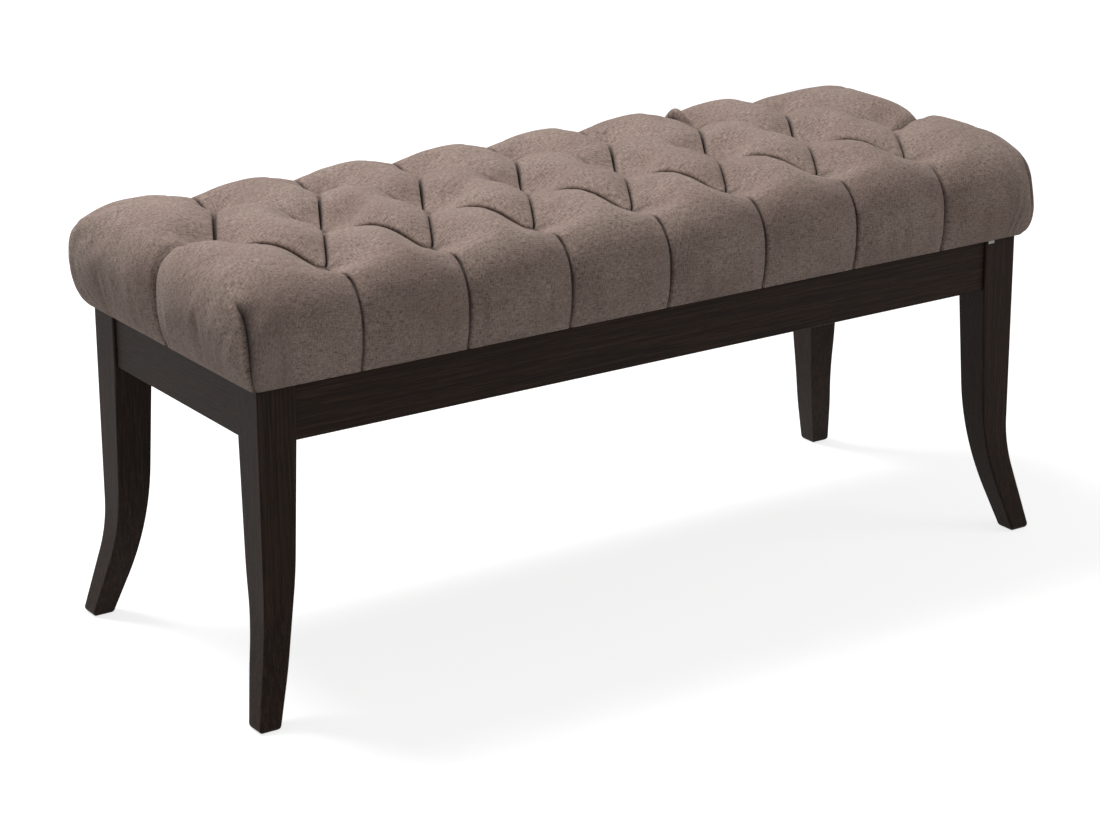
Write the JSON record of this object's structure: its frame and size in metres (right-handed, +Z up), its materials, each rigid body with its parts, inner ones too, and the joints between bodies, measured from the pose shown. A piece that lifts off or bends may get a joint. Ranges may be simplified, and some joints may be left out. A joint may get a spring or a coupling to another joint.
{
  "type": "upholstered bench",
  "caption": "Rectangular upholstered bench: a deep diamond-tufted fabric cushion on a dark wooden frame with plain aprons and square legs that curve outwards to slim feet.",
  "frame": {"origin": "on the floor, under the middle of the seat", "axes": "+X along the bench, the front long side faces -Y, +Z up"},
  "size_m": [1, 0.3844, 0.4605],
  "materials": {
    "stained_wood": "very dark brown stain, satin, fine open grain",
    "plain_wood": "bare planed wood",
    "plywood": "bare plywood",
    "zinc_steel": "zinc plated",
    "cover_fabric": "heathered taupe, linen-like plain weave",
    "foam": "open-cell foam",
    "wadding": "soft white fibre",
    "twine": "waxed upholstery twine",
    "anchor_plastic": "moulded plastic",
    "dust_cloth": "black non-woven cloth",
    "tag_ribbon": "plain woven ribbon, blank"
  },
  "bodies": {
    "root": {"front_left_leg": "stained_wood", "front_right_leg": "stained_wood", "rear_right_leg": "stained_wood", "rear_left_leg": "stained_wood", "front_apron": "stained_wood", "right_apron": "stained_wood", "rear_apron": "stained_wood", "left_apron": "stained_wood", "corner_block_front_left": "plain_wood", "corner_block_front_right": "plain_wood", "corner_block_rear_right": "plain_wood", "corner_block_rear_left": "plain_wood", "center_rail": "plain_wood", "frame_dowels": "plain_wood", "corner_block_screws": "zinc_steel", "leg_hanger_bolts": "zinc_steel", "leg_bolt_washers": "zinc_steel", "leg_bolt_nuts": "zinc_steel", "seat_screws": "zinc_steel", "hem_staples": "zinc_steel", "seat_board": "plywood", "foam_pad": "foam", "fibre_wadding": "wadding", "tufted_cover": "cover_fabric", "tuft_twines": "twine", "tuft_anchors": "anchor_plastic", "dust_cover": "dust_cloth", "seam_tag": "tag_ribbon"}
  },
  "joints": []
}
